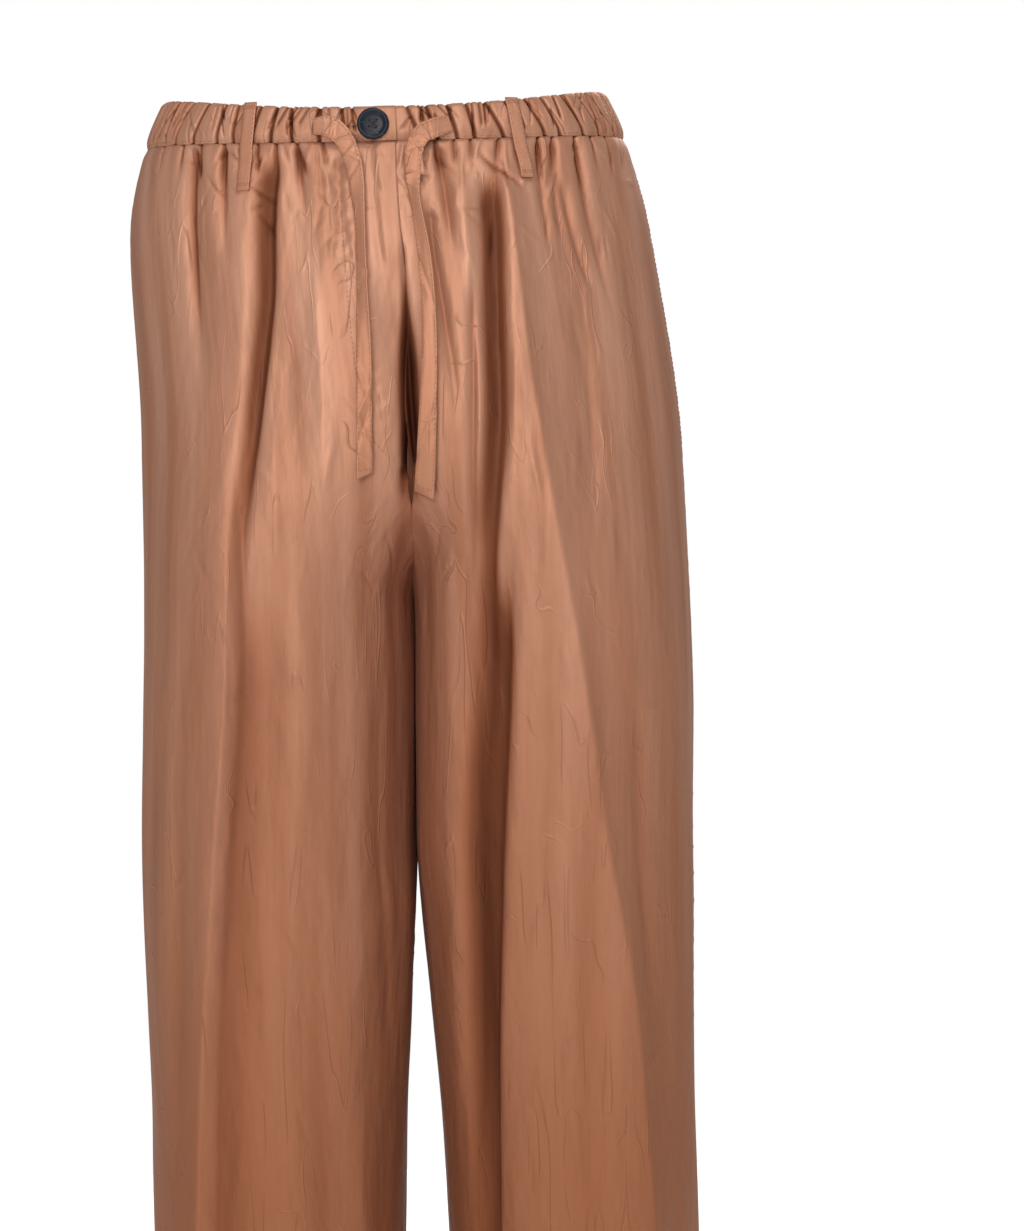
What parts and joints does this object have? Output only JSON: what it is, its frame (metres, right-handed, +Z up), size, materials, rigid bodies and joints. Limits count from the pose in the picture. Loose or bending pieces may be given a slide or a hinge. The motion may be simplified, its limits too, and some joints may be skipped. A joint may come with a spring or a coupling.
{
  "type": "drawstring trousers in worn, hollow shape",
  "caption": "Drawstring trousers in worn, hollow shape: gathered elastic waist, buttoned lapped fly, hanging ties, belt loops and straight wide legs.",
  "frame": {"origin": "middle of the waist opening, level with the band's upper edge at the sides", "axes": "+Z up along the wearer, front towards -Y, the wearer's left towards +X"},
  "size_m": [0.3212, 0.249, 1.024],
  "materials": {
    "satin": "satin",
    "tie_satin": "satin",
    "pocket_satin": "satin",
    "button_resin": "polished"
  },
  "bodies": {
    "root": {"front_left": "satin", "front_right": "satin", "back_left": "satin", "back_right": "satin", "waistband_left": "satin", "waistband_right": "satin", "belt_loop_front_left": "satin", "belt_loop_front_right": "satin", "belt_loop_back_left": "satin", "belt_loop_back_right": "satin", "belt_loop_back_middle": "satin", "tie_left": "tie_satin", "tie_right": "tie_satin", "pocket_left": "pocket_satin", "pocket_right": "pocket_satin", "button": "button_resin"}
  },
  "joints": []
}
